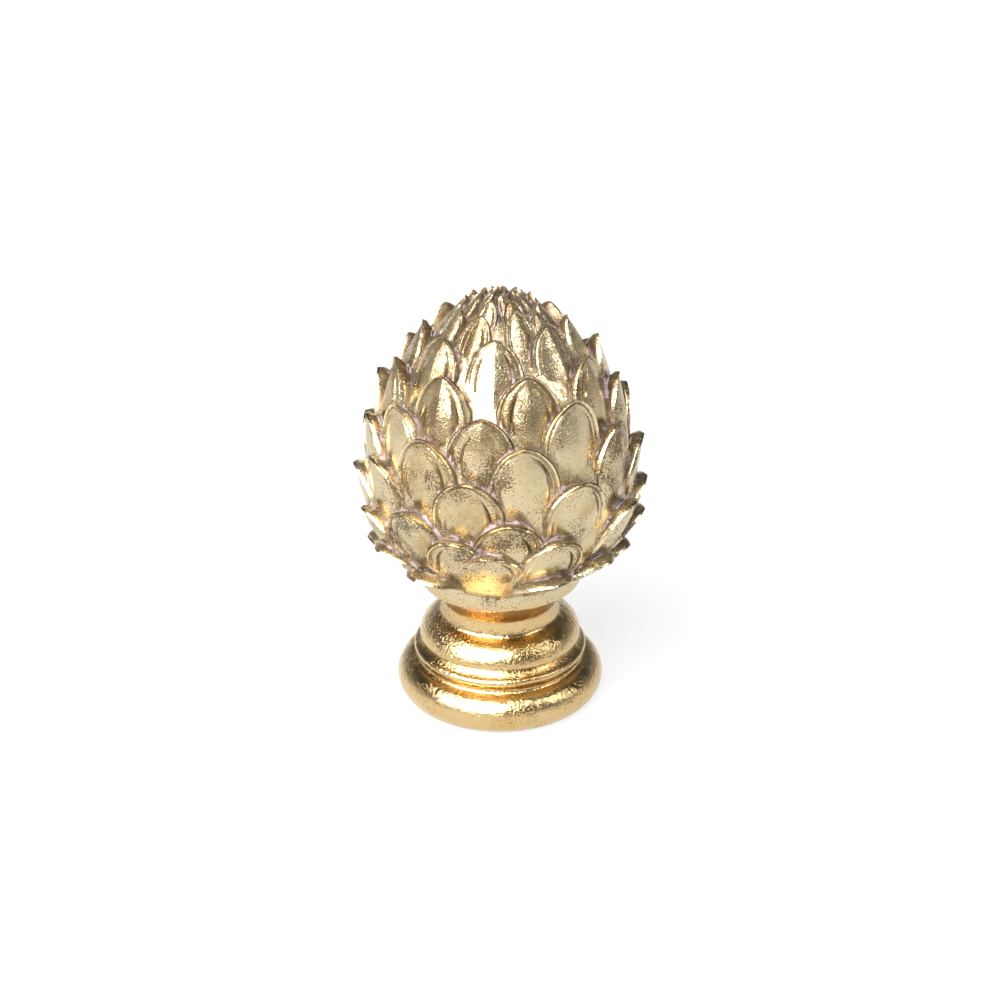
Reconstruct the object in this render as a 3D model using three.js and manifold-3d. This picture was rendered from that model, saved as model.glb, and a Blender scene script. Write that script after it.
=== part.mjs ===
// Pinecone finial, cast in one piece: a round foot with a bell moulding and a neck,
// and above it a cone of overlapping pointed leaves.
// Millimetres, +Z up. The origin is the centre of the foot's flat underside.
// The front of the cone faces -Y.
import * as THREE from 'three';
import Module from 'manifold-3d';

// Foot: a heavy half round that stands on a flat underside
const footRadius = 56.0;
const footHeight = 20.8;
const footRoundDepth = 9.0;

// Cove above the foot, and the thin ring over it. The degrees are how far each round
// runs from its middle height, down and up.
const coveDepth = 2.4;
const coveHeight = 4.6;
const coveRoundDeg = 50;
const ringRadius = 46.9;
const ringThickness = 4.4;
const ringDownDeg = 60;
const ringUpDeg = 75;

// Crease under the bell, then the bell's lip, its shoulder and the sweep up to the neck
const creaseDepth = 4.6;
const creaseHeight = 2.6;
const bellRadius = 43.6;
const bellLipHeight = 5.4;
const bellLipDownDeg = 45;
const bellLipDepth = 8.0;
const bellShoulderRadius = 32.8;
const bellShoulderHeight = 9.8;
const bellShoulderDeg = 66;
const neckRadius = 30.6;
const neckSweepHeight = 8.9;
const neckSweepDeg = 60;

// Cup: the smooth bowl that the lowest leaves grow from. The neck flares out to its rim,
// and the rim's lower edge stands a little back from the wall.
const cupRadius = 44.2;
const cupFlareHeight = 13.5;
const cupFlarePower = 1.3;
const cupRimDepth = 1.2;
const cupRimHeight = 2.2;

// Bed of the cone: the egg that the leaves lie on, from its root inside the cup to the crown
const bedRadius = 69.0;
const bedRootRadius = 36.0;
const bedRootHeight = 4.0;
const bedLowerHeight = 53.0;
const bedUpperHeight = 101.6;
const bedCrownPull = 0.27;

// Leaves: how far their tips stand off the bed, how deep their roots go into it,
// how the rise gathers toward the tip, and how deep the edge stands behind its rim
const leafTipProud = 10.0;
const leafRootSink = 2.0;
const leafRisePower = 1.1;
const leafEdgeDepth = 6.5;
const leafWidestShare = 0.48;
const leafRootWidthShare = 0.8;

// The front leaves are set a little wider than the back ones, and every leaf is
// turned and raised a little by the carver's hand
const frontSpreadDeg = 3.8;
const carvedTurnDeg = 2.2;
const carvedRise = 1.4;
const carvedRingStep = 2.1;
const carvedLeafStep = 3.7;
const carvedRiseStep = 1.3;

// Rings of leaves from the cup to the crown. tipAt and length are shares of the bed's
// length from root to crown, halfWidth and keel are shares of its radius. proud is the
// share of the full tip stand-off, keel is how far the middle stands over the edges, and
// ridge is the power of the cross section (near 1 a roof, near 2 a round face). point and
// blunt shape the outline from the widest place to the tip: a half ellipse at 2 and 0.5,
// and more pointed as blunt nears 1.
const leafRings = [
  {
    count: 7, phaseDeg: 22.7, tipAt: 0.193, length: 0.155, halfWidth: 0.25,
    proud: 1, keel: 0.036, ridge: 1.8, point: 2.2, blunt: 0.6,
  },
  {
    count: 7, phaseDeg: -3.0, tipAt: 0.225, length: 0.175, halfWidth: 0.26,
    proud: 1, keel: 0.039, ridge: 1.8, point: 2.2, blunt: 0.6,
  },
  {
    count: 8, phaseDeg: -17.0, tipAt: 0.328, length: 0.227, halfWidth: 0.27,
    proud: 1, keel: 0.042, ridge: 1.8, point: 2.2, blunt: 0.56,
  },
  {
    count: 8, phaseDeg: 7.0, tipAt: 0.379, length: 0.24, halfWidth: 0.28,
    proud: 1, keel: 0.045, ridge: 1.7, point: 2.2, blunt: 0.58,
  },
  {
    count: 8, phaseDeg: -12.9, tipAt: 0.475, length: 0.245, halfWidth: 0.285,
    proud: 1, keel: 0.047, ridge: 1.6, point: 2.2, blunt: 0.6,
  },
  {
    count: 8, phaseDeg: 13.2, tipAt: 0.565, length: 0.252, halfWidth: 0.28,
    proud: 1, keel: 0.051, ridge: 1.5, point: 2.1, blunt: 0.62,
  },
  {
    count: 8, phaseDeg: -9.0, tipAt: 0.642, length: 0.24, halfWidth: 0.275,
    proud: 1, keel: 0.063, ridge: 1.3, point: 2.0, blunt: 0.64,
  },
  {
    count: 8, phaseDeg: 15.5, tipAt: 0.737, length: 0.235, halfWidth: 0.265,
    proud: 1, keel: 0.066, ridge: 1.2, point: 1.9, blunt: 0.68,
  },
  {
    count: 8, phaseDeg: -1.7, tipAt: 0.833, length: 0.225, halfWidth: 0.235,
    proud: 0.85, keel: 0.058, ridge: 1.15, point: 1.8, blunt: 0.62,
  },
  {
    count: 10, phaseDeg: -25.0, tipAt: 0.915, length: 0.17, halfWidth: 0.125,
    proud: 0.6, keel: 0.035, ridge: 1.3, point: 1.8, blunt: 0.6,
  },
  {
    count: 7, phaseDeg: -24.0, tipAt: 0.952, length: 0.11, halfWidth: 0.085,
    proud: 0.7, keel: 0.022, ridge: 1.3, point: 1.8, blunt: 0.58,
  },
  {
    count: 4, phaseDeg: 20.0, tipAt: 0.982, length: 0.07, halfWidth: 0.055,
    proud: 0.7, keel: 0.015, ridge: 1.3, point: 1.8, blunt: 0.55,
  },
];

// Leaves that stand off their ring's even spacing: ring, place counted from the front,
// extra turn in degrees and extra distance up the bed as a share of its length
const setLeaves = [
  [0, -1, -7.0, -0.006],
  [1, 0, -1.0, 0.078],
  [1, -1, -2.4, 0.004],
  [1, 1, 0.7, -0.012],
  [2, 0, 0.4, 0.005],
  [2, 1, -6.7, -0.001],
  [2, -1, 0.3, -0.002],
  [2, 2, 6.0, -0.05],
  [3, 0, -3.0, 0.009],
  [3, -1, 0.3, -0.002],
  [3, 1, 8.4, -0.03],
  [3, -2, 5.7, 0.028],
  [3, 2, -7.0, -0.045],
  [4, 0, 0.0, 0.013],
  [4, 1, 0.5, -0.008],
  [4, -1, -0.9, -0.003],
  [4, 2, 8.0, -0.01],
  [5, 0, -2.6, 0.009],
  [5, -1, -0.8, 0.007],
  [5, 1, 1.5, -0.001],
  [5, -2, 1.8, -0.018],
  [6, 0, -0.1, 0.003],
  [6, 1, -0.2, 0.021],
  [6, -1, 1.7, -0.018],
  [6, -2, -1.3, -0.033],
  [7, 0, 0.5, 0.008],
  [7, -1, -1.8, -0.005],
  [7, 1, 0.5, 0.009],
  [7, 2, -8.0, -0.005],
  [7, -2, -0.1, -0.03],
  [7, -3, -3.0, -0.066],
  [8, 0, -2.3, 0.009],
  [8, -1, -1.2, -0.012],
  [8, 1, 3.0, 0.028],
  [8, -2, 0.5, -0.027],
  [8, -3, 5.0, -0.036],
  [8, 3, 5.0, -0.045],
  [9, 0, 0.0, -0.006],
  [9, 1, 11.0, 0.008],
  [9, 2, 6.0, -0.012],
  [9, -1, -4.0, -0.01],
  [10, 0, 0.0, 0.004],
  [10, 3, 9.0, -0.006],
];

// Facets of the round parts and of one leaf
const roundFacets = 28;
const halfRoundSteps = 7;
const sweepSteps = 4;
const flareSteps = 3;
const bedSteps = 8;
const bedSamples = 600;
const roundLeafAlong = [0.0, 0.47, 0.76, 0.93];
const roofLeafAlong = [0.0, 0.46, 0.74, 0.92];
const roundLeafAcross = [-1, -0.5, 0, 0.5, 1];
const roofLeafAcross = [-1, 0, 1];
const roofRidge = 1.4;

// Heights of the mouldings, each stacked on the one below
const ringBottom = footHeight + coveHeight;
const ringTop = ringBottom + ringThickness;
const bellBottom = ringTop + creaseHeight;
const bellShoulderTop = bellBottom + bellLipHeight + bellShoulderHeight;
const neckBottom = bellShoulderTop + neckSweepHeight;
const cupRim = neckBottom + cupFlareHeight;
const bedRoot = cupRim + bedRootHeight;

const radians = (degrees) => degrees * Math.PI / 180;

// Points [radius, height] along an arc of an ellipse, from one angle to another
function arc(centreRadius, centreHeight, across, along, fromDeg, toDeg, steps) {
  const points = [];
  for (let i = 0; i <= steps; i++) {
    const a = radians(fromDeg + (toDeg - fromDeg) * i / steps);
    points.push([centreRadius + across * Math.cos(a), centreHeight + along * Math.sin(a)]);
  }
  return points;
}

// A point [radius, height] of the bed. side runs from -1 at the root to 0 at the
// widest height and 1 at the crown.
function bedPoint(side) {
  const widest = bedRoot + bedLowerHeight;
  if (side < 0) {
    const rootCosine = bedRootRadius / bedRadius;
    const a = side * Math.acos(rootCosine);
    const depth = bedLowerHeight / Math.sqrt(1 - rootCosine * rootCosine);
    return [bedRadius * Math.cos(a), widest + depth * Math.sin(a)];
  }
  const up = Math.sin(side * Math.PI / 2);
  const radius = bedRadius * Math.cos(side * Math.PI / 2) * (1 - bedCrownPull * up * up * up);
  return [radius, widest + bedUpperHeight * up];
}

// The bed measured out by length: for a share of its length, the point and the
// outward normal there
function measureBed() {
  const points = [];
  const lengths = [0];
  for (let i = 0; i <= bedSamples; i++) {
    points.push(bedPoint(-1 + 2 * i / bedSamples));
    if (i > 0) {
      const step = Math.hypot(points[i][0] - points[i - 1][0], points[i][1] - points[i - 1][1]);
      lengths.push(lengths[i - 1] + step);
    }
  }
  const total = lengths[bedSamples];
  const at = (share) => {
    const wanted = Math.min(Math.max(share, 0), 1) * total;
    let i = 1;
    while (i < bedSamples && lengths[i] < wanted) {
      i++;
    }
    const t = (wanted - lengths[i - 1]) / (lengths[i] - lengths[i - 1]);
    const [a, b] = [points[i - 1], points[i]];
    const step = lengths[i] - lengths[i - 1];
    return {
      radius: a[0] + (b[0] - a[0]) * t,
      height: a[1] + (b[1] - a[1]) * t,
      outward: [(b[1] - a[1]) / step, (a[0] - b[0]) / step],
    };
  };
  return { total, at };
}

// Profile of the foot, mouldings, neck, cup and bed, from the axis to the axis
function coreProfile() {
  const points = [[0, 0]];
  const footRound = footRadius - footRoundDepth;
  points.push(...arc(footRound, footHeight / 2, footRoundDepth, footHeight / 2, -90, 90, halfRoundSteps));
  const coveMiddle = footHeight + coveHeight / 2;
  points.push(...arc(
    footRound, coveMiddle, -coveDepth, coveHeight / 2, -coveRoundDeg, coveRoundDeg, sweepSteps,
  ));
  const ringRound = ringThickness / 2;
  const ringMiddle = ringBottom + ringRound;
  points.push(...arc(
    ringRadius - ringRound, ringMiddle, ringRound, ringRound, -ringDownDeg, ringUpDeg, sweepSteps,
  ));
  points.push([ringRadius - creaseDepth, ringTop + creaseHeight / 2]);
  const lipMiddle = bellBottom + bellLipHeight / 2;
  points.push(...arc(
    bellRadius - bellLipDepth, lipMiddle, bellLipDepth, bellLipHeight / 2, -bellLipDownDeg, 0, sweepSteps / 2,
  ));
  const bellDepth = (bellRadius - bellShoulderRadius) / (1 - Math.cos(radians(bellShoulderDeg)));
  const bellRise = (bellShoulderTop - lipMiddle) / Math.sin(radians(bellShoulderDeg));
  points.push(...arc(
    bellRadius - bellDepth, lipMiddle, bellDepth, bellRise, 0, bellShoulderDeg, sweepSteps,
  ).slice(1));
  const sweepIn = bellShoulderRadius - neckRadius;
  points.push(...arc(
    bellShoulderRadius, neckBottom, -sweepIn, -neckSweepHeight, neckSweepDeg, 0, sweepSteps - 1,
  ));
  const rimRadius = cupRadius - cupRimDepth;
  for (let i = 1; i <= flareSteps; i++) {
    const t = i / flareSteps;
    const radius = neckRadius + (rimRadius - neckRadius) * Math.pow(t, cupFlarePower);
    points.push([radius, neckBottom + cupFlareHeight * t]);
  }
  points.push([cupRadius, cupRim + cupRimHeight]);
  const bedStart = -Math.acos(cupRadius / bedRadius) / Math.acos(bedRootRadius / bedRadius);
  for (let i = 0; i <= bedSteps; i++) {
    points.push(bedPoint(bedStart + (1 - bedStart) * i / bedSteps));
  }
  points[points.length - 1][0] = 0;
  return points;
}

// A closed solid of revolution as vertex and triangle lists
function revolve(profile) {
  const positions = [];
  const triangles = [];
  const rings = profile.slice(1, -1);
  positions.push(0, 0, profile[0][1]);
  for (const [radius, height] of rings) {
    for (let k = 0; k < roundFacets; k++) {
      const a = 2 * Math.PI * k / roundFacets;
      positions.push(radius * Math.cos(a), radius * Math.sin(a), height);
    }
  }
  positions.push(0, 0, profile[profile.length - 1][1]);
  const last = positions.length / 3 - 1;
  const at = (ring, k) => 1 + ring * roundFacets + (k % roundFacets);
  for (let k = 0; k < roundFacets; k++) {
    triangles.push(0, at(0, k + 1), at(0, k));
    triangles.push(last, at(rings.length - 1, k), at(rings.length - 1, k + 1));
    for (let ring = 0; ring < rings.length - 1; ring++) {
      triangles.push(at(ring, k), at(ring, k + 1), at(ring + 1, k + 1));
      triangles.push(at(ring, k), at(ring + 1, k + 1), at(ring + 1, k));
    }
  }
  return { positions, triangles };
}

// A leaf of one ring as a closed solid: its carved outer face, a flat back and an edge
function leafSolid(bed, ring, tipAt, turnDeg) {
  const positions = [];
  const triangles = [];
  const length = ring.length * bed.total;
  const halfWidth = ring.halfWidth * bedRadius;
  const keel = ring.keel * bedRadius;
  const turn = radians(turnDeg + frontSpreadDeg * Math.sin(radians(turnDeg)));
  const widthAt = (v) => {
    if (v < leafWidestShare) {
      return leafRootWidthShare + (1 - leafRootWidthShare) * Math.sin(Math.PI / 2 * v / leafWidestShare);
    }
    const t = (v - leafWidestShare) / (1 - leafWidestShare);
    return Math.pow(1 - Math.pow(t, ring.point), ring.blunt);
  };
  const riseAt = (v) => leafTipProud * ring.proud * Math.pow(v, leafRisePower)
    - leafRootSink * (1 - Math.pow(v, leafRisePower));
  const place = (v, u, off) => {
    const spot = bed.at(tipAt - (1 - v) * length / bed.total);
    const radius = spot.radius + spot.outward[0] * off;
    const height = spot.height + spot.outward[1] * off;
    const a = turn + u * widthAt(v) * halfWidth / spot.radius;
    positions.push(radius * Math.sin(a), -radius * Math.cos(a), height);
    return positions.length / 3 - 1;
  };
  const isRoof = ring.ridge < roofRidge;
  const along = isRoof ? roofLeafAlong : roundLeafAlong;
  const across = isRoof ? roofLeafAcross : roundLeafAcross;
  const outer = [];
  const back = [];
  for (const v of along) {
    const drop = keel * widthAt(v);
    const off = riseAt(v);
    outer.push(across.map((u) => place(v, u, off - drop * Math.pow(Math.abs(u), ring.ridge))));
    back.push([-1, 1].map((u) => place(v, u, off - drop - leafEdgeDepth)));
  }
  const tip = place(1, 0, riseAt(1));
  const tipBack = place(1, 0, riseAt(1) - leafEdgeDepth);
  const quad = (a, b, c, d) => triangles.push(a, b, c, a, c, d);
  const right = across.length - 1;
  const end = along.length - 1;
  for (let i = 0; i < end; i++) {
    for (let j = 0; j < right; j++) {
      quad(outer[i][j], outer[i][j + 1], outer[i + 1][j + 1], outer[i + 1][j]);
    }
    quad(back[i][1], back[i][0], back[i + 1][0], back[i + 1][1]);
    quad(back[i][0], outer[i][0], outer[i + 1][0], back[i + 1][0]);
    quad(outer[i][right], back[i][1], back[i + 1][1], outer[i + 1][right]);
  }
  for (let j = 0; j < right; j++) {
    triangles.push(outer[end][j], outer[end][j + 1], tip);
    triangles.push(outer[0][j + 1], outer[0][j], back[0][0]);
  }
  triangles.push(outer[0][right], back[0][0], back[0][1]);
  triangles.push(back[end][1], back[end][0], tipBack);
  quad(back[end][0], outer[end][0], tip, tipBack);
  quad(outer[end][right], back[end][1], tipBack, tip);
  return { positions, triangles };
}

// Every leaf of the cone, with the set or carved shift of each
function leafSolids(bed) {
  const leaves = [];
  leafRings.forEach((ring, ringIndex) => {
    for (let k = 0; k < ring.count; k++) {
      const place = k > ring.count / 2 ? k - ring.count : k;
      const set = setLeaves.find((entry) => entry[0] === ringIndex && entry[1] === place);
      const wave = ringIndex * carvedRingStep + k * carvedLeafStep;
      const turn = set ? set[2] : carvedTurnDeg * Math.sin(wave);
      const shift = set ? set[3] : carvedRise / bed.total * Math.cos(wave * carvedRiseStep);
      const faces = ring.phaseDeg + place * 360 / ring.count + turn;
      leaves.push(leafSolid(bed, ring, ring.tipAt + shift, faces));
    }
  });
  return leaves;
}

const wasm = await Module();
wasm.setup();

function solid({ positions, triangles }) {
  return new wasm.Manifold(new wasm.Mesh({
    numProp: 3,
    vertProperties: Float32Array.from(positions),
    triVerts: Uint32Array.from(triangles),
  }));
}

const bed = measureBed();
const casting = wasm.Manifold.union([solid(revolve(coreProfile())), ...leafSolids(bed).map(solid)]);
const cast = casting.getMesh();
const geometry = new THREE.BufferGeometry();
geometry.setAttribute('position', new THREE.BufferAttribute(Float32Array.from(cast.vertProperties), 3));
geometry.setIndex(new THREE.BufferAttribute(Uint32Array.from(cast.triVerts), 1));
geometry.computeVertexNormals();

const gilding = new THREE.MeshStandardMaterial({
  name: 'gilding', color: 0xd9c288, metalness: 1, roughness: 0.3,
});
const finial = new THREE.Mesh(geometry, gilding);
finial.name = 'pinecone_finial';

const model = new THREE.Group();
model.name = 'pinecone_finial_model';
model.add(finial);

export default model;
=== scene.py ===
import math
import random

import bpy
from bpy.props import FloatProperty, FloatVectorProperty, IntProperty, PointerProperty
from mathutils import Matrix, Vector


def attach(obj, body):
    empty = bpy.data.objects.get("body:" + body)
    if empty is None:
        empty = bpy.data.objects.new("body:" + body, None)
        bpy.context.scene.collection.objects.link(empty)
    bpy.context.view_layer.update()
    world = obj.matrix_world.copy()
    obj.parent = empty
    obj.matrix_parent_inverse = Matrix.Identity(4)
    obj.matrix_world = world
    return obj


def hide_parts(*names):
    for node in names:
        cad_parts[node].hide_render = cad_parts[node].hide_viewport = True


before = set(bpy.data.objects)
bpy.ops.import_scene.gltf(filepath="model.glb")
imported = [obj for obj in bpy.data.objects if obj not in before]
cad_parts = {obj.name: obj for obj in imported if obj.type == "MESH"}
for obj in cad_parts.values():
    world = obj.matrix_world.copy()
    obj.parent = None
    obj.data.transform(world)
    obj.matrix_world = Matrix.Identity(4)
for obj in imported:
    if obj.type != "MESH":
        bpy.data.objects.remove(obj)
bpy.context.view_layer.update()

bl_info = {
    "name": "Pinecone finial",
    "version": (1, 0, 0),
    "blender": (4, 5, 0),
    "location": "3D View > Sidebar > Finial",
    "description": "A gilded pinecone finial cast in one piece, and the studio it stands in",
    "category": "Object",
}

MM = 0.001

# Rings of leaves from the cup to the crown. tip_at and length are shares of the bed's
# length from root to crown, half_width and keel are shares of its radius, proud is the
# share of the full tip stand-off, ridge is the power of the cross section, and point and
# blunt shape the outline from the widest place to the tip.
RING_FIELDS = (
    "count", "phase", "tip_at", "length", "half_width", "proud", "keel", "ridge", "point", "blunt",
)
LEAF_RINGS = (
    (7, 22.7, 0.193, 0.155, 0.25, 1.0, 0.036, 1.8, 2.2, 0.6),
    (7, -3.0, 0.225, 0.175, 0.26, 1.0, 0.039, 1.8, 2.2, 0.6),
    (8, -17.0, 0.328, 0.227, 0.27, 1.0, 0.042, 1.8, 2.2, 0.56),
    (8, 7.0, 0.379, 0.24, 0.28, 1.0, 0.045, 1.7, 2.2, 0.58),
    (8, -12.9, 0.475, 0.245, 0.285, 1.0, 0.047, 1.6, 2.2, 0.6),
    (8, 13.2, 0.565, 0.252, 0.28, 1.0, 0.051, 1.5, 2.1, 0.62),
    (8, -9.0, 0.642, 0.24, 0.275, 1.1, 0.066, 1.3, 2.0, 0.64),
    (8, 15.5, 0.737, 0.235, 0.265, 1.16, 0.068, 1.2, 1.9, 0.68),
    (8, -1.7, 0.833, 0.225, 0.235, 1.0, 0.058, 1.15, 1.8, 0.62),
    (10, -25.0, 0.915, 0.17, 0.125, 0.72, 0.035, 1.3, 1.8, 0.6),
    (7, -24.0, 0.952, 0.11, 0.085, 0.7, 0.022, 1.3, 1.8, 0.58),
    (4, 20.0, 0.982, 0.07, 0.055, 0.7, 0.015, 1.3, 1.8, 0.55),
)

# Leaves that stand off their ring's even spacing, by ring and place from the front:
# extra turn in degrees, and extra distance up the bed as a share of its length
SET_LEAVES = {
    (0, -1): (-7.0, -0.006),
    (1, 0): (-1.0, 0.078), (1, -1): (-2.4, 0.004), (1, 1): (0.7, -0.012),
    (2, 0): (0.4, 0.005), (2, 1): (-6.7, -0.001), (2, -1): (0.3, -0.002), (2, 2): (6.0, -0.05),
    (3, 0): (-3.0, 0.009), (3, -1): (0.3, -0.002), (3, 1): (8.4, -0.03), (3, -2): (5.7, 0.028),
    (3, 2): (-7.0, -0.045),
    (4, 0): (0.0, 0.013), (4, 1): (0.5, -0.008), (4, -1): (-0.9, -0.003), (4, 2): (8.0, -0.01),
    (5, 0): (-2.6, 0.009), (5, -1): (-0.8, 0.007), (5, 1): (1.5, -0.001), (5, -2): (1.8, -0.018),
    (6, 0): (-0.1, 0.003), (6, 1): (-0.2, 0.021), (6, -1): (1.7, -0.018), (6, -2): (-1.3, -0.033),
    (7, 0): (0.5, 0.008), (7, -1): (-1.8, -0.005), (7, 1): (0.5, 0.009), (7, 2): (-8.0, -0.005),
    (7, -2): (-0.1, -0.03), (7, -3): (-3.0, -0.066),
    (8, 0): (-2.3, 0.009), (8, -1): (-1.2, -0.012), (8, 1): (3.0, 0.028), (8, -2): (0.5, -0.027),
    (8, -3): (5.0, -0.036), (8, 3): (5.0, -0.045),
    (9, 0): (0.0, -0.006), (9, 1): (11.0, 0.008), (9, 2): (6.0, -0.012), (9, -1): (-4.0, -0.01),
    (10, 0): (0.0, 0.004), (10, 3): (9.0, -0.006),
}

# The front leaves are set a little wider than the back ones, and every leaf is turned, in
# degrees, and raised, in millimetres, a little by the carver's hand
FRONT_SPREAD = 3.8
CARVED_TURN = 2.2
CARVED_RISE = 1.4
CARVED_STEPS = (2.1, 3.7, 1.3)

# Mouldings from the foot up. Each turn is how far a round runs from its middle, in degrees.
FOOT_ROUND = 9.0 * MM
COVE_HEIGHT = 4.6 * MM
COVE_DEPTH = 2.4 * MM
COVE_TURN = 50
RING_RADIUS = 46.9 * MM
RING_HEIGHT = 4.4 * MM
RING_TURNS = (-60, 75)
CREASE_HEIGHT = 2.6 * MM
CREASE_DEPTH = 4.6 * MM
LIP_HEIGHT = 5.4 * MM
LIP_DEPTH = 8.0 * MM
LIP_TURN = 45
SHOULDER_HEIGHT = 9.8 * MM
SHOULDER_TURN = 66
SHOULDER_LEDGE = 2.2 * MM
SWEEP_HEIGHT = 8.9 * MM
SWEEP_TURN = 62
CUP_RADIUS = 44.2 * MM
CUP_HEIGHT = 13.5 * MM
CUP_FLARE = 1.3
CUP_STEPS = 12
CUP_RIM_DEPTH = 1.2 * MM

# The cup's rolled rim: shares of its depth, and the heights at which it reaches them
CUP_RIM = ((0.35, 0.35 * MM), (0.65, 0.9 * MM), (0.88, 1.6 * MM), (1.0, 2.4 * MM))

# Bed of the cone: its root inside the cup, how far its crown is drawn in, its steps up and
# round, and the least radius that a leaf is bent to at the crown
BED_ROOT = 36.0 * MM
BED_ROOT_HEIGHT = 4.0 * MM
CROWN_PULL = 0.27
BED_STEPS = 56
AROUND = 144
LEAST_BEND = 2.0 * MM

# One leaf, laid out in arches that run from root to tip and back to the root. ROOT_PART is
# the share of the arch from the root to the widest place, INWARD the places from the
# spine to the rim on the front, and EDGE the places round the edge to the back, each with
# its depth through the leaf's thickness.
ROOT_PART = 0.28
ROOT_ROWS = 4
TIP_ROWS = 16
INWARD = (
    1.0, 0.95, 0.87, 0.76, 0.65, 0.55, 0.47, 0.41, 0.36, 0.32, 0.28, 0.24, 0.2, 0.16, 0.12, 0.085,
    0.055, 0.025, 0.0,
)
EDGE = (
    (-0.014, 0.05), (-0.02, 0.13), (-0.014, 0.24), (0.01, 0.45), (0.05, 0.75), (0.1, 1.0), (0.5, 1.0),
    (1.0, 1.0),
)

# WIDEST is where along its length a leaf is widest, ROOT_WIDTH the share of its width left
# at the root, SPINE_SHARE how far up its spine an arch comes against its edges, and
# HOOK_FROM where the tip starts to turn out. Its rise to the tip gathers with RISE_POWER,
# and a tip leans over sideways by up to MOST_LEAN.
WIDEST = 0.48
ROOT_WIDTH = 0.8
SPINE_SHARE = 0.8
RISE_POWER = 1.1
HOOK_FROM = 0.8
MOST_LEAN = 1.2 * MM

# Waves across a leaf's face, each with its place from the edge, its half width and its
# height as a share of the rim's: the rim, the turn down to the edge, and the valley inside
FACE_WAVES = ((0.065, 0.035, 1.0), (0.0, 0.02, -0.7), (0.14, 0.03, -0.8))

# The carving grows out of the root, and the grooves fade before the tip. A groove lies
# GROOVE_AT from the edge or up to GROOVE_SPREAD further in, and is deeper on one side.
CARVED_FROM = 0.25
GROOVE_END = 0.86
GROOVE_FADE = 0.3
GROOVE_AT = 0.25
GROOVE_SPREAD = 0.2
GROOVE_WIDTH = 0.04
GROOVE_SIDES = (0.65, 0.35)
GROOVE_CUTS = (0.6, 1.3)
RIGHT_HANDED = 0.72

# What each point of a leaf holds, and then what each leaf of the cone holds
LEAF_POINT = ("arch", "inward", "depth", "side")
LEAF_VALUES = (
    "turn", "tip_at", "length", "half_width", "proud", "keel", "ridge", "point", "blunt", "lean",
    "cut", "hand", "tone",
)

# Named inputs of the casting's nodes, and the sizes that they take
TREE_SIZES = {
    "Tip stand-off": "tip_proud", "Root depth": "root_sink", "Edge depth": "edge_depth",
    "Rim height": "rim_height", "Groove depth": "groove_depth", "Tip hook": "tip_hook",
    "Casting wobble": "wobble",
}

# Swells of the cast surface, as waves to the metre and their share of the wobble. They are
# gentler on the turned foot, full on the cone, and fade out at the flat underside.
SWELLS = ((55.0, 2.0), (210.0, 0.9))
SWELLS_FROM = 6 * MM
FOOT_SWELLS = 0.35
CONE_ROOT = 60 * MM
CONE_BLEND = 20 * MM

# Rays that feel how hollow a place is: how far they reach, where they start above the
# surface, and how far all but one of them lean
HOLLOW_REACH = 14 * MM
HOLLOW_START = 0.2 * MM
HOLLOW_LEAN = 1.2
HOLLOW_RAYS = 7
CREASE_ANGLE = math.radians(50)

# Heights between which the finish changes, in metres
CONE_STARTS = (0.067, 0.078)
UPPER_CONE = (0.15, 0.2)
CROWN_STARTS = (0.186, 0.216)
COVES_END = (0.036, 0.03)
THROAT_STARTS = (0.0545, 0.0585)
THROAT_ENDS = (0.0712, 0.0695)

# A node that turns a number into a share from 0 to 1, with a soft start and end
SOFT = {"kind": "ShaderNodeMapRange", "interpolation_type": "SMOOTHSTEP"}


def length(name, millimetres, description):
    """A size that the user can change."""
    return FloatProperty(name=name, description=description, default=millimetres * MM, unit="LENGTH")


class FINIAL_PG_casting(bpy.types.PropertyGroup):
    foot_radius: length("Foot radius", 56.0, "Round foot's largest radius")
    foot_height: length("Foot height", 20.8, "Height of the round foot")
    bell_radius: length("Bell radius", 43.6, "Radius of the bell's lip")
    neck_radius: length("Neck radius", 30.6, "Radius of the neck")
    bed_radius: length("Bed radius", 69.0, "Largest radius of the egg under the leaves")
    bed_lower: length("Bed lower height", 53.0, "From the bed's root to the egg's widest place")
    bed_upper: length("Bed upper height", 101.6, "From the egg's widest place to its crown")
    tip_proud: length("Tip stand-off", 8.6, "How far a leaf's tip stands off the bed")
    root_sink: length("Root depth", 2.0, "How deep a leaf's root goes into the bed")
    edge_depth: length("Edge depth", 6.5, "How deep a leaf's edge stands behind its rim")
    rim_height: length("Rim height", 1.1, "Raised line along a leaf's edge")
    groove_depth: length("Groove depth", 2.1, "Groove cut beside a leaf's edge")
    tip_hook: length("Tip hook", 0.3, "Extra outward curl at the very tip")
    wobble: length("Casting wobble", 0.4, "Unevenness of the cast surface")
    seed: IntProperty(name="Seed", description="Changes the small differences between leaves", default=7)


def linear(hex_colour):
    """Turns an sRGB hex value into linear red, green, blue and alpha."""
    channels = [int(hex_colour[i:i + 2], 16) / 255 for i in (1, 3, 5)]
    return [c / 12.92 if c <= 0.04045 else ((c + 0.055) / 1.055) ** 2.4 for c in channels] + [1.0]


def paint(name, hex_colour, description):
    """A colour that the user can change."""
    return FloatVectorProperty(
        name=name, description=description, subtype="COLOR", size=3, min=0.0, max=1.0,
        default=linear(hex_colour)[:3])


def gloss(name, roughness, description):
    """A roughness that the user can change."""
    return FloatProperty(name=name, description=description, default=roughness, min=0.0, max=1.0)


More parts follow.
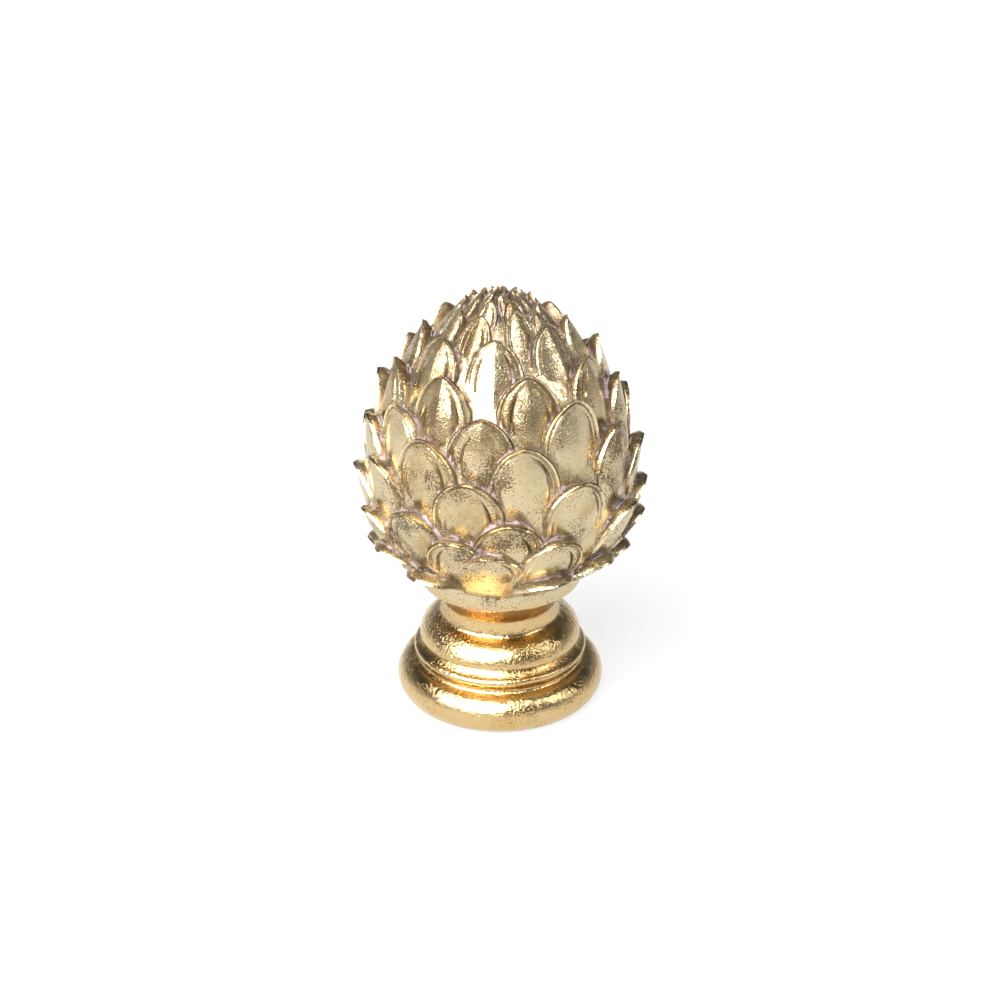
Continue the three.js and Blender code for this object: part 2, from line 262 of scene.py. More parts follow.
class FINIAL_PG_gilding(bpy.types.PropertyGroup):
    pale_gold: paint("Pale gold", "#CABA96", "The gold leaf where it lies clean")
    deep_gold: paint("Deep gold", "#AE976C", "The gold leaf where it lies double or has yellowed")
    # The raised rims are painted in this lighter gold, partly for their polish and partly as a painted
    # highlight
    burnish_and_highlight: paint("Burnished gold", "#DDD1B2", "The raised lines that hands and cloths have polished")
    # Also painted shade: this brown darkens the grooves, the places beside the hollows, the leaves' sides,
    # the insides of their rims and their tips
    umber_and_shade: paint("Umber", "#47311A", "The brown wash left in pits, grooves and worn patches")
    foot_gold: paint("Foot gold", "#CCA766", "The redder gold leaf on the foot and bell")
    # Painted reflection: this orange stands for the gold's warm reflection of itself in the foot's coves and
    # in the shaded throat under the cup
    warm_reflection: paint("Bole", "#CC974A", "The orange-brown ground that shows in the coves and under the cup")
    # Painted shade: this rosy brown darkens the leaves' sides, where shade falls between them
    side_shade: paint("Old varnish", "#9F8368", "The rosy brown varnish that has darkened the leaves' sides")
    wax: paint("Wax", "#C2B3BC", "The grey-lilac wax that sits in the hollows")
    foot_gloss: gloss("Foot roughness", 0.07, "Roughness of the burnished foot")
    cone_gloss: gloss("Cone roughness", 0.19, "Roughness of the gilded leaves")
    pit_size: length("Pit size", 1.1, "Distance between pits in the gold")
    ripple_size: length("Ripple size", 3.5, "Size of the soft dents under the gold")


def add(tree, kind, *values, **settings):
    """Adds a node, sets its properties, and fills its open inputs in order with values or links."""
    node = tree.nodes.new(kind)
    for name, value in settings.items():
        setattr(node, name, value)
    sockets = [socket for socket in node.inputs if socket.enabled]
    for socket, value in zip(sockets, values):
        if value is None:
            continue
        if isinstance(value, bpy.types.Node):
            value = next(out for out in value.outputs if out.enabled)
        if isinstance(value, Field):
            value = value.socket
        if isinstance(value, bpy.types.NodeSocket):
            tree.links.new(value, socket)
        else:
            socket.default_value = value
    return node


class Field:
    """A number worked out by nodes at every point; the usual signs join two of them."""

    def __init__(self, tree, source):
        self.tree = tree
        self.socket = source.outputs[0] if isinstance(source, bpy.types.Node) else source

    def through(self, *values, kind, **settings):
        """Puts this number, and the values after it, through one node."""
        return Field(self.tree, add(self.tree, kind, self, *values, **settings))

    def join(self, operation, *others, first=None):
        values = (self,) + others if first is None else (first, self)
        return Field(self.tree, add(self.tree, "ShaderNodeMath", *values, operation=operation))

    def __add__(self, other):
        return self.join("ADD", other)

    def __radd__(self, other):
        return self.join("ADD", other)

    def __sub__(self, other):
        return self.join("SUBTRACT", other)

    def __rsub__(self, other):
        return self.join("SUBTRACT", first=other)

    def __mul__(self, other):
        return self.join("MULTIPLY", other)

    def __rmul__(self, other):
        return self.join("MULTIPLY", other)

    def __truediv__(self, other):
        return self.join("DIVIDE", other)

    def __rtruediv__(self, other):
        return self.join("DIVIDE", first=other)

    def __pow__(self, other):
        return self.join("POWER", other)


def arc(centre_radius, centre_height, across, along, from_deg, to_deg, steps):
    """Points (radius, height) along an arc of an ellipse."""
    points = []
    for i in range(steps + 1):
        a = math.radians(from_deg + (to_deg - from_deg) * i / steps)
        points.append((centre_radius + across * math.cos(a), centre_height + along * math.sin(a)))
    return points


def moulding_heights(sizes):
    """Heights of the mouldings, each stacked on the one below."""
    ring_bottom = sizes.foot_height + COVE_HEIGHT
    ring_top = ring_bottom + RING_HEIGHT
    bell_bottom = ring_top + CREASE_HEIGHT
    shoulder_top = bell_bottom + LIP_HEIGHT + SHOULDER_HEIGHT
    neck_bottom = shoulder_top + SWEEP_HEIGHT
    cup_rim = neck_bottom + CUP_HEIGHT
    return ring_bottom, ring_top, bell_bottom, shoulder_top, neck_bottom, cup_rim


def bed_point(sizes, side):
    """A point of the egg that the leaves lie on: side runs from -1 at its root to 1 at the crown."""
    widest = moulding_heights(sizes)[-1] + BED_ROOT_HEIGHT + sizes.bed_lower
    if side < 0:
        cosine = BED_ROOT / sizes.bed_radius
        a = side * math.acos(cosine)
        depth = sizes.bed_lower / math.sqrt(1 - cosine * cosine)
        return sizes.bed_radius * math.cos(a), widest + depth * math.sin(a)
    up = math.sin(side * math.pi / 2)
    radius = sizes.bed_radius * math.cos(side * math.pi / 2) * (1 - CROWN_PULL * up ** 3)
    return radius, widest + sizes.bed_upper * up


def turned_profile(sizes):
    """Profile of the foot, mouldings, neck, cup and bed, from the axis to the axis."""
    ring_bottom, ring_top, bell_bottom, shoulder_top, neck_bottom, cup_rim = moulding_heights(sizes)

    # Flat underside, the foot's half round, the cove and the thin ring
    foot_round = sizes.foot_radius - FOOT_ROUND
    middle = sizes.foot_height / 2
    half_cove = COVE_HEIGHT / 2
    half_ring = RING_HEIGHT / 2
    points = [(foot_round * i / 6, 0.0) for i in range(6)]
    points += arc(foot_round, middle, FOOT_ROUND, middle, -90, 90, 26)
    points += arc(foot_round, sizes.foot_height + half_cove, -COVE_DEPTH, half_cove, -COVE_TURN, COVE_TURN, 9)
    points += arc(RING_RADIUS - half_ring, ring_bottom + half_ring, half_ring, half_ring, *RING_TURNS, 11)
    points += [(RING_RADIUS - CREASE_DEPTH, ring_top + CREASE_HEIGHT / 2)]

    # The bell's lip, its shoulder, and the sweep up to the neck
    half_lip = LIP_HEIGHT / 2
    lip_middle = bell_bottom + half_lip
    points += arc(sizes.bell_radius - LIP_DEPTH, lip_middle, LIP_DEPTH, half_lip, -LIP_TURN, 0, 6)
    shoulder_radius = sizes.neck_radius + SHOULDER_LEDGE
    depth = (sizes.bell_radius - shoulder_radius) / (1 - math.cos(math.radians(SHOULDER_TURN)))
    rise = (shoulder_top - lip_middle) / math.sin(math.radians(SHOULDER_TURN))
    points += arc(sizes.bell_radius - depth, lip_middle, depth, rise, 0, SHOULDER_TURN, 16)[1:]
    points += arc(shoulder_radius, neck_bottom, -SHOULDER_LEDGE, -SWEEP_HEIGHT, SWEEP_TURN, 0, 10)

    # The neck flares out to the cup's rolled rim, and the bed rises out of the cup
    rim = CUP_RADIUS - CUP_RIM_DEPTH
    for i in range(1, CUP_STEPS + 1):
        flare = (rim - sizes.neck_radius) * (i / CUP_STEPS) ** CUP_FLARE
        points.append((sizes.neck_radius + flare, neck_bottom + CUP_HEIGHT * i / CUP_STEPS))
    points += [(rim + share * CUP_RIM_DEPTH, cup_rim + height) for share, height in CUP_RIM]
    start = -math.acos(CUP_RADIUS / sizes.bed_radius) / math.acos(BED_ROOT / sizes.bed_radius)
    points += [bed_point(sizes, start + (1 - start) * i / BED_STEPS) for i in range(BED_STEPS)]
    return points + [bed_point(sizes, 1)]


def turned_body(sizes):
    """The casting under its leaves, as a closed mesh turned about the axis."""
    profile = turned_profile(sizes)[1:-1]
    vertices = [(0, 0, 0)]
    for radius, height in profile:
        for k in range(AROUND):
            a = 2 * math.pi * k / AROUND
            vertices.append((radius * math.sin(a), -radius * math.cos(a), height))
    vertices.append((0, 0, bed_point(sizes, 1)[1]))
    faces = []
    last = len(vertices) - 1
    top = 1 + (len(profile) - 1) * AROUND
    for k in range(AROUND):
        n = (k + 1) % AROUND
        faces.append((0, 1 + n, 1 + k))
        faces.append((last, top + k, top + n))
        for j in range(len(profile) - 1):
            low, high = 1 + j * AROUND, 1 + (j + 1) * AROUND
            faces.append((low + k, low + n, high + n, high + k))
    mesh = bpy.data.meshes.new("turned body")
    mesh.from_pydata(vertices, [], faces)
    return bpy.data.objects.new("turned body", mesh)


def bed_curve(sizes):
    """The bed's profile as a curve from its root to the crown, for measuring along."""
    curve = bpy.data.curves.new("bed line", "CURVE")
    curve.dimensions = "3D"
    spline = curve.splines.new("POLY")
    steps = 400
    spline.points.add(steps)
    for i in range(steps + 1):
        radius, height = bed_point(sizes, -1 + 2 * i / steps)
        spline.points[i].co = (radius, 0, height, 1)
    return bpy.data.objects.new("bed line", curve)


def leaf_pattern():
    """One closed leaf before it is laid on the bed. Each point holds its place on the leaf:
    arch from root to tip, inward from edge to spine, depth from front to back, and side."""
    rows = [i / ROOT_ROWS * ROOT_PART for i in range(1, ROOT_ROWS)]
    rows += [ROOT_PART + (1 - ROOT_PART) * i / TIP_ROWS for i in range(TIP_ROWS)]
    places = [(inward, 0.0) for inward in INWARD] + list(EDGE)
    points = [(0.0, 1.0, 0.5, 0.0)]
    left = []
    right = []
    for arch in rows:
        front_spine = len(points)
        points.append((arch, 1.0, 0.0, 0.0))
        back_spine = len(points)
        points.append((arch, 1.0, 1.0, 0.0))
        for side, line in ((-1.0, left), (1.0, right)):
            start = len(points)
            points.extend((arch, inward, depth, side) for inward, depth in places[1:-1])
            line.append([front_spine] + list(range(start, len(points))) + [back_spine])
    start = len(points)
    points.extend((1.0, inward, depth, 0.0) for inward, depth in places)
    tip = list(range(start, len(points)))
    faces = []
    for line, outward in ((left, True), (right, False)):
        for low, high in zip(line, line[1:] + [tip]):
            for j in range(len(places) - 1):
                quad = (low[j], low[j + 1], high[j + 1], high[j])
                faces.append(quad[::-1] if outward else quad)
        for j in range(len(places) - 1):
            corner = (0, line[0][j + 1], line[0][j])
            faces.append(corner[::-1] if outward else corner)

    rim = []
    groove = []
    for arch, inward, depth, side in points:
        carved = min(arch / CARVED_FROM, 1.0) if depth == 0.0 else 0.0
        fade = min(max((GROOVE_END - arch) / GROOVE_FADE, 0.0), 1.0)
        face = sum(height * math.exp(-((inward - at) / width) ** 2) for at, width, height in FACE_WAVES)
        rim.append(carved * face)
        groove.append(carved * fade)
    mesh = bpy.data.meshes.new("leaf pattern")
    mesh.from_pydata([(0, 0, 0)] * len(points), [], faces)
    for name, numbers in (*zip(LEAF_POINT, zip(*points)), ("rim", rim), ("groove", groove)):
        values = mesh.attributes.new(name, "FLOAT", "POINT")
        values.data.foreach_set("value", numbers)
    return bpy.data.objects.new("leaf pattern", mesh)


def leaf_places(sizes):
    """One point for each leaf of the cone, holding where it lies and how it is shaped."""
    chance = random.Random(sizes.seed)
    steps = 600
    bed = [bed_point(sizes, -1 + 2 * i / steps) for i in range(steps + 1)]
    bed_length = sum(math.dist(a, b) for a, b in zip(bed, bed[1:]))
    leaves = []
    for ring_index, values in enumerate(LEAF_RINGS):
        ring = dict(zip(RING_FIELDS, values))
        for k in range(ring["count"]):
            place = k - ring["count"] if k > ring["count"] / 2 else k
            wave = ring_index * CARVED_STEPS[0] + k * CARVED_STEPS[1]
            raised = CARVED_RISE * MM / bed_length * math.cos(wave * CARVED_STEPS[2])
            turn, shift = SET_LEAVES.get((ring_index, place), (CARVED_TURN * math.sin(wave), raised))
            faces = math.radians(ring["phase"] + place * 360 / ring["count"] + turn)
            leaves.append({
                "turn": faces + math.radians(FRONT_SPREAD) * math.sin(faces),
                "tip_at": ring["tip_at"] + shift,
                "length": ring["length"],
                "half_width": ring["half_width"] * sizes.bed_radius,
                "proud": ring["proud"],
                "keel": ring["keel"] * sizes.bed_radius,
                "ridge": ring["ridge"],
                "point": ring["point"],
                "blunt": ring["blunt"],
                "lean": chance.uniform(-1.0, 1.0),
                "cut": chance.uniform(*GROOVE_CUTS),
                "hand": 1.0 if chance.random() < RIGHT_HANDED else -1.0,
                "tone": chance.uniform(0.0, 1.0),
            })
    mesh = bpy.data.meshes.new("cone")
    mesh.from_pydata([(0, 0, 0)] * len(leaves), [], [])
    for name in LEAF_VALUES:
        values = mesh.attributes.new(name, "FLOAT", "POINT")
        values.data.foreach_set("value", [leaf[name] for leaf in leaves])
    number = mesh.attributes.new("leaf", "INT", "POINT")
    number.data.foreach_set("value", list(range(len(leaves))))
    return bpy.data.objects.new("cone", mesh)


def casting_tree():
    """Geometry nodes that lay the leaves on the bed, join them to the turned body and mark
    the hollows."""
    tree = bpy.data.node_groups.new("pinecone casting", "GeometryNodeTree")
    inputs = [("Geometry", "Geometry"), ("Leaf", "Object"), ("Bed line", "Object"), ("Turned body", "Object")]
    inputs += [(name, "Float") for name in TREE_SIZES] + [("Gilding", "Material")]
    for name, kind in inputs:
        tree.interface.new_socket(name, in_out="INPUT", socket_type="NodeSocket" + kind)
    tree.interface.new_socket("Geometry", in_out="OUTPUT", socket_type="NodeSocketGeometry")
    given = add(tree, "NodeGroupInput").outputs
    sizes = {name: Field(tree, given[name]) for name in TREE_SIZES}
    held = {name: Field(tree, add(tree, "GeometryNodeInputNamedAttribute", name, data_type="FLOAT"))
            for name in LEAF_POINT + LEAF_VALUES + ("rim", "groove")}

    pattern = add(tree, "GeometryNodeObjectInfo", given["Leaf"])
    placed = add(tree, "GeometryNodeInstanceOnPoints", given["Geometry"], None, pattern.outputs["Geometry"])
    leaves = add(tree, "GeometryNodeRealizeInstances", placed)

    # Outline of a leaf: how far along it and across it a point lies
    arch, inward, depth, side = (held[name] for name in LEAF_POINT)
    root = (arch / ROOT_PART).join("MINIMUM", 1.0)
    climb = ((arch - ROOT_PART) / (1 - ROOT_PART)).join("MAXIMUM", 0.0) * (math.pi / 2)
    climb_sine = climb.join("SINE")
    climbed = (climb_sine * climb_sine).join("MINIMUM", 1.0)
    along_edge = WIDEST * root + (1 - WIDEST) * climbed ** (1.0 / held["point"])
    rounded = ROOT_WIDTH + (1 - ROOT_WIDTH) * (root * (math.pi / 2)).join("SINE")
    width = rounded * (1.0 - climbed) ** held["blunt"]
    along = along_edge * (1.0 - (1 - SPINE_SHARE) * inward)
    lean = held["lean"] * MOST_LEAN * along * along
    across = side * held["half_width"] * width * (1.0 - inward) + lean

    # How far it stands off the bed: the rise to the tip, less the fall to the edge and the
    # back, with the rim and groove carved in its face
    gathered = along ** RISE_POWER
    stand = sizes["Tip stand-off"] * held["proud"]
    hook = sizes["Tip hook"] * ((along - HOOK_FROM) / (1 - HOOK_FROM)).join("MAXIMUM", 0.0) ** 2.0
    rise = stand * gathered - sizes["Root depth"] * (1.0 - gathered) + hook * held["proud"]
    edge_drop = held["keel"] * width
    front_drop = edge_drop * (1.0 - inward).join("MINIMUM", 1.0) ** held["ridge"]
    back_drop = edge_drop + sizes["Edge depth"]
    drop = front_drop + depth * (back_drop - front_drop)
    relief = sizes["Rim height"] * held["rim"] - sizes["Groove depth"] * held["cut"] * held["groove"]
    off = rise - drop + relief * held["proud"]

    share = held["tip_at"] - (1.0 - along) * held["length"]
    line = add(tree, "GeometryNodeObjectInfo", given["Bed line"])
    spot = add(tree, "GeometryNodeSampleCurve", line.outputs["Geometry"], None, share)
    here = add(tree, "ShaderNodeSeparateXYZ", spot.outputs["Position"])
    runs = add(tree, "ShaderNodeSeparateXYZ", spot.outputs["Tangent"])
    out_from_axis = Field(tree, here.outputs["X"])
    radius = out_from_axis + Field(tree, runs.outputs["Z"]) * off
    height = Field(tree, here.outputs["Z"]) - Field(tree, runs.outputs["X"]) * off
    angle = held["turn"] + across / out_from_axis.join("MAXIMUM", LEAST_BEND)
    right = radius * angle.join("SINE")
    back = radius * angle.join("COSINE") * -1.0
    laid = add(tree, "ShaderNodeCombineXYZ", right, back, height)

    # Each leaf's groove runs at its own distance from the edge, and is deeper on one side
    from_groove = (inward - GROOVE_AT - GROOVE_SPREAD * held["tone"]) / GROOVE_WIDTH
    sided = GROOVE_SIDES[0] + side * held["hand"] * GROOVE_SIDES[1]
    stroke = (from_groove * from_groove * -1.0).join("EXPONENT") * sided * held["groove"]
    scored = add(tree, "GeometryNodeStoreNamedAttribute", leaves, None, "groove", stroke, data_type="FLOAT",
                 domain="POINT")
    shaped = add(tree, "GeometryNodeSetPosition", scored, None, laid)
    number = add(tree, "GeometryNodeInputNamedAttribute", "leaf", data_type="INT")
    apart = add(tree, "GeometryNodeSplitToInstances", shaped, None, number)

    body = add(tree, "GeometryNodeObjectInfo", given["Turned body"])
    joined = tree.nodes.new("GeometryNodeMeshBoolean")
    joined.operation = "UNION"
    joined.solver = "MANIFOLD"
    tree.links.new(body.outputs["Geometry"], joined.inputs["Mesh 2"])
    tree.links.new(apart.outputs["Instances"], joined.inputs["Mesh 2"])

    # The small uneven swells of a casting
    place = add(tree, "GeometryNodeInputPosition")
    facing = add(tree, "GeometryNodeInputNormal")
    lifted = Field(tree, add(tree, "ShaderNodeSeparateXYZ", place).outputs["Z"])
    swells = sum((Field(tree, add(tree, "ShaderNodeTexNoise", place, waves, 1.0)) - 0.5) * strength
                 for waves, strength in SWELLS)
    steady = (lifted / SWELLS_FROM).join("MINIMUM", 1.0)
    on_cone = ((lifted - CONE_ROOT) / CONE_BLEND).join("MINIMUM", 1.0).join("MAXIMUM", 0.0)
    uneven = swells * steady * (FOOT_SWELLS + (1 - FOOT_SWELLS) * on_cone) * sizes["Casting wobble"]
    moved = add(tree, "ShaderNodeVectorMath", facing, uneven, operation="SCALE")
    cast = add(tree, "GeometryNodeSetPosition", joined, None, None, moved)

    # Rays from each point, one straight out and the rest leaning round it, feel how hollow it is
    upright = add(tree, "ShaderNodeVectorMath", facing, (0.0, 0.0, 1.0), operation="CROSS_PRODUCT")
    over = add(tree, "ShaderNodeVectorMath", upright, operation="NORMALIZE")
    beside = add(tree, "ShaderNodeVectorMath", facing, over, operation="CROSS_PRODUCT")
    clear = add(tree, "ShaderNodeVectorMath", facing, HOLLOW_START, operation="SCALE")
    start = add(tree, "ShaderNodeVectorMath", clear, place, operation="ADD")
    leaning = HOLLOW_RAYS - 1
    shut = 0.0
    for i in range(HOLLOW_RAYS):
        a = 2 * math.pi * i / leaning
        lean_out = HOLLOW_LEAN if i < leaning else 0.0
        one = add(tree, "ShaderNodeVectorMath", over, lean_out * math.cos(a), operation="SCALE")
        two = add(tree, "ShaderNodeVectorMath", beside, lean_out * math.sin(a), operation="SCALE")
        both = add(tree, "ShaderNodeVectorMath", one, two, operation="ADD")
        way = add(tree, "ShaderNodeVectorMath", both, facing, operation="ADD")
        ray = tree.nodes.new("GeometryNodeRaycast")
        tree.links.new(cast.outputs[0], ray.inputs["Target Geometry"])
        tree.links.new(start.outputs[0], ray.inputs["Source Position"])
        tree.links.new(way.outputs[0], ray.inputs["Ray Direction"])
        ray.inputs["Ray Length"].default_value = HOLLOW_REACH
        nearness = 1.0 - Field(tree, ray.outputs["Hit Distance"]) / HOLLOW_REACH
        shut = Field(tree, ray.outputs["Is Hit"]) * nearness + shut
    marked = add(tree, "GeometryNodeStoreNamedAttribute", cast, None, "hollow", shut / float(HOLLOW_RAYS),
                 data_type="FLOAT", domain="POINT")

    # Smooth faces, with the folds of the casting kept sharp
    bend = Field(tree, add(tree, "GeometryNodeInputMeshEdgeAngle"))
    sharp = add(tree, "FunctionNodeCompare", bend, CREASE_ANGLE, data_type="FLOAT", operation="GREATER_THAN")
    smooth = add(tree, "GeometryNodeSetShadeSmooth", marked, None, True, domain="FACE")
    creased = add(tree, "GeometryNodeSetShadeSmooth", smooth, sharp, False, domain="EDGE")
    whole = add(tree, "GeometryNodeRealizeInstances", creased)
    gilt = add(tree, "GeometryNodeSetMaterial", whole, None, given["Gilding"])
    add(tree, "NodeGroupOutput", gilt)
    return tree


def gold_leaf(gilding):
    """Gold leaf laid over a casting by hand, stained brown and waxed. It is bright and a little rippled, with
    raised rims painted lighter (partly polish, partly a painted highlight), painted rosy shade on the leaves'
    sides, a painted warm reflection in the coves and under the cup, brown stain in the pits, worn patches and
    over the crown, brown painted shade in the grooves, beside the hollows, inside the rims and at the tips,
    and grey-lilac wax in the hollows."""
    material = bpy.data.materials.new("pale gold leaf over a casting, pitted and waxed")
    material.use_nodes = True
    tree = material.node_tree
    tree.nodes.clear()
    place = add(tree, "ShaderNodeTexCoord").outputs["Object"]
    lifted = Field(tree, add(tree, "ShaderNodeSeparateXYZ", place).outputs["Z"])
    arch, depth, rim, groove, hollow, tone = (
        Field(tree, add(tree, "ShaderNodeAttribute", attribute_name=name).outputs["Fac"])
        for name in ("arch", "depth", "rim", "groove", "hollow", "tone"))

    # Cloudy patterns, each with the size of its clouds and its detail. The speckle and the
    # wrinkles of real leaf are finer, and are drawn as coarse as they need to be to show.
    drifts, grain, speckle, gathers, wears, breaks, loosens, dents, wrinkles = (
        Field(tree, add(tree, "ShaderNodeTexNoise", place, 1 / size, detail))
        for size, detail in (
            (16 * MM, 3.0), (2.4 * MM, 3.0), (0.9 * MM, 2.0), (11 * MM, 3.0), (19 * MM, 4.0),
            (6 * MM, 2.0), (18 * MM, 2.0), (gilding.ripple_size, 1.0), (1.6 * MM, 2.0)))
    cells = Field(tree, add(tree, "ShaderNodeTexVoronoi", place, 1 / gilding.pit_size).outputs["Distance"])
    ragged = grain - 0.5
    cone = (lifted + (drifts - 0.5) * 0.01).through(*CONE_STARTS, **SOFT)
    high = lifted.through(*UPPER_CONE, **SOFT)

    # Leaf that lies double or has yellowed, in drifts and a little differently on each leaf of the
    # cone, redder leaf on the foot, and raised rims painted lighter, partly for their polish and partly as a
    # painted highlight
    yellowed = (drifts + tone * 0.22 + ragged * 0.3).through(0.48, 0.95, **SOFT)
    footed = (1.0 - cone) * (0.3 + 0.5 * drifts)
    polish_and_highlight = rim.through(0.15, 0.7, **SOFT) * 0.8

    # Painted shade darkens the leaves' sides in rosy brown, and a painted warm reflection of the gold lies in
    # the foot's coves and in the shaded throat under the cup
    shaded_sides = depth.through(0.12, 0.6, **SOFT) * (0.15 + 0.5 * drifts) * cone
    coves = (hollow + ragged * 0.2).through(0.12, 0.36, **SOFT) * lifted.through(*COVES_END, **SOFT)
    throat = lifted.through(*THROAT_STARTS, **SOFT) * lifted.through(*THROAT_ENDS, **SOFT)
    # Painted warm reflection and shade in the coves and in the throat under the cup
    painted_warm_reflection = coves.join("MAXIMUM", throat) * 0.7

    # Brown stain lies in pits about 1 mm apart that gather in clusters, in thin worn patches and over
    # the crown. The same brown is painted shade in the grooves, beside the hollows, on the leaves'
    # sides, inside their rims and at their tips. Each row holds what the darkening follows, where on
    # it the darkening starts and is full, and how strong it is there.
    clusters = gathers.through(0.5, 0.64, **SOFT)
    crown = (lifted + (drifts - 0.5) * 0.05).through(*CROWN_STARTS, **SOFT)
    patched = wears + (speckle - 0.5) * 0.7 + (tone - 0.5) * 0.16
    washes_and_shades = [followed.through(start, full, **SOFT) * strength for followed, start, full, strength in (
        (cells + ragged * 0.3, 0.36, 0.2, 0.12 + 0.88 * clusters),
        (patched, 0.57, 0.66, (0.25 + 0.75 * cone) * 0.95),
        (speckle + ragged, 0.25, 0.6, crown * 0.9),
        # Painted shade from here down: the grooves, beside the hollows, the leaves' sides, inside the rims
        # and at the tips
        (groove + ragged * 0.3, 0.3, 0.65, 0.95),
        (hollow + ragged * 0.3, 0.13, 0.3, (0.48 + 0.3 * high) * cone),
        (drifts + ragged * 0.6, 0.35, 0.6, depth.through(0.08, 0.3, **SOFT) * 0.7),
        (rim + ragged * 0.4, -0.3, -0.62, 0.6),
        (depth, 0.02, 0.2, arch.through(0.78, 0.95, **SOFT) * (0.5 + 0.4 * high)),
    )]
    pits = washes_and_shades[0]
    wash_and_shade = pits
    for darkening in washes_and_shades[1:]:
        wash_and_shade = wash_and_shade.join("MAXIMUM", darkening)

    # Wax stays in broken lines where a polishing cloth can't reach
    broken = breaks.through(0.42, 0.58, **SOFT)
    waxed = (hollow + ragged * 0.3).through(0.4, 0.52, **SOFT) * cone * (0.2 + 0.55 * broken)

    # The layers over the clean gold, the painted highlight, shade and reflection among them, in the order in
    # which they are laid
    colour = (*gilding.pale_gold, 1.0)
    for amount, layer in (
        (yellowed, gilding.deep_gold), (footed, gilding.foot_gold), (polish_and_highlight, gilding.burnish_and_highlight),
        (shaded_sides, gilding.side_shade), (painted_warm_reflection, gilding.warm_reflection), (wash_and_shade * 0.92, gilding.umber_and_shade),
        (waxed, gilding.wax),
    ):
        colour = add(tree, "ShaderNodeMix", amount, colour, (*layer, 1.0), data_type="RGBA")

    # Gold is metal, wax isn't, and the brown stain and the painted shade dull the metal under them
    metal = 1.0 - waxed.join("MAXIMUM", wash_and_shade * 0.35)
    rough = gilding.foot_gloss + cone * (gilding.cone_gloss - gilding.foot_gloss) + ragged * 0.12
    rough = rough + wash_and_shade * 0.15 + waxed * 0.3

    # Heights in metres: soft dents under the leaf, its grain and speckle, its own fine
    # wrinkles, which stand higher in patches of the foot where it lies loose, and the pits
    loose = loosens.through(0.42, 0.6, **SOFT) * (1.0 - cone)
    relief = dents * 0.0001 + grain * 0.00006 + speckle * (0.0002 - 0.00009 * cone)
    relief = relief + wrinkles * (0.00005 + 0.00045 * loose) - pits * 0.00015
    bump = tree.nodes.new("ShaderNodeBump")
    bump.inputs["Distance"].default_value = 1.0
    bump.inputs["Strength"].default_value = 1.0
    tree.links.new(relief.socket, bump.inputs["Height"])

    shader = tree.nodes.new("ShaderNodeBsdfPrincipled")
    tree.links.new(next(out for out in colour.outputs if out.enabled), shader.inputs["Base Color"])
    tree.links.new(metal.socket, shader.inputs["Metallic"])
    tree.links.new(rough.socket, shader.inputs["Roughness"])
    tree.links.new(bump.outputs["Normal"], shader.inputs["Normal"])
    add(tree, "ShaderNodeOutputMaterial", shader)
    return material


class FINIAL_OT_casting(bpy.types.Operator):
    """Makes the gilded casting with its cone of leaves"""

    bl_idname = "finial.casting"
    bl_label = "Pinecone casting"

    def execute(self, context):
        sizes = context.scene.finial_casting
        cone = leaf_places(sizes)
        helpers = {"Leaf": leaf_pattern(), "Bed line": bed_curve(sizes), "Turned body": turned_body(sizes)}
        makings = [cone, *helpers.values()]
        for making in makings:
            context.collection.objects.link(making)
        tree = casting_tree()
        layer = cone.modifiers.new("pinecone casting", "NODES")
        layer.node_group = tree
        values = {**helpers, "Gilding": gold_leaf(context.scene.finial_gilding)}
        values.update((name, getattr(sizes, size)) for name, size in TREE_SIZES.items())
        for item in tree.interface.items_tree:
            if item.item_type == "SOCKET" and item.in_out == "INPUT" and item.name in values:
                layer[item.identifier] = values[item.name]
        context.view_layer.update()
        done = cone.evaluated_get(context.evaluated_depsgraph_get())
        mesh = bpy.data.meshes.new_from_object(done)
        if not mesh.polygons:
            raise RuntimeError("the leaves and the turned body did not join")
        mesh.name = "gilded casting"
        casting = bpy.data.objects.new("gilded_casting", mesh)
        context.collection.objects.link(casting)
        for making in makings:
            bpy.data.objects.remove(making)
        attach(casting, "root")
        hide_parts("pinecone_finial")
        return {"FINISHED"}


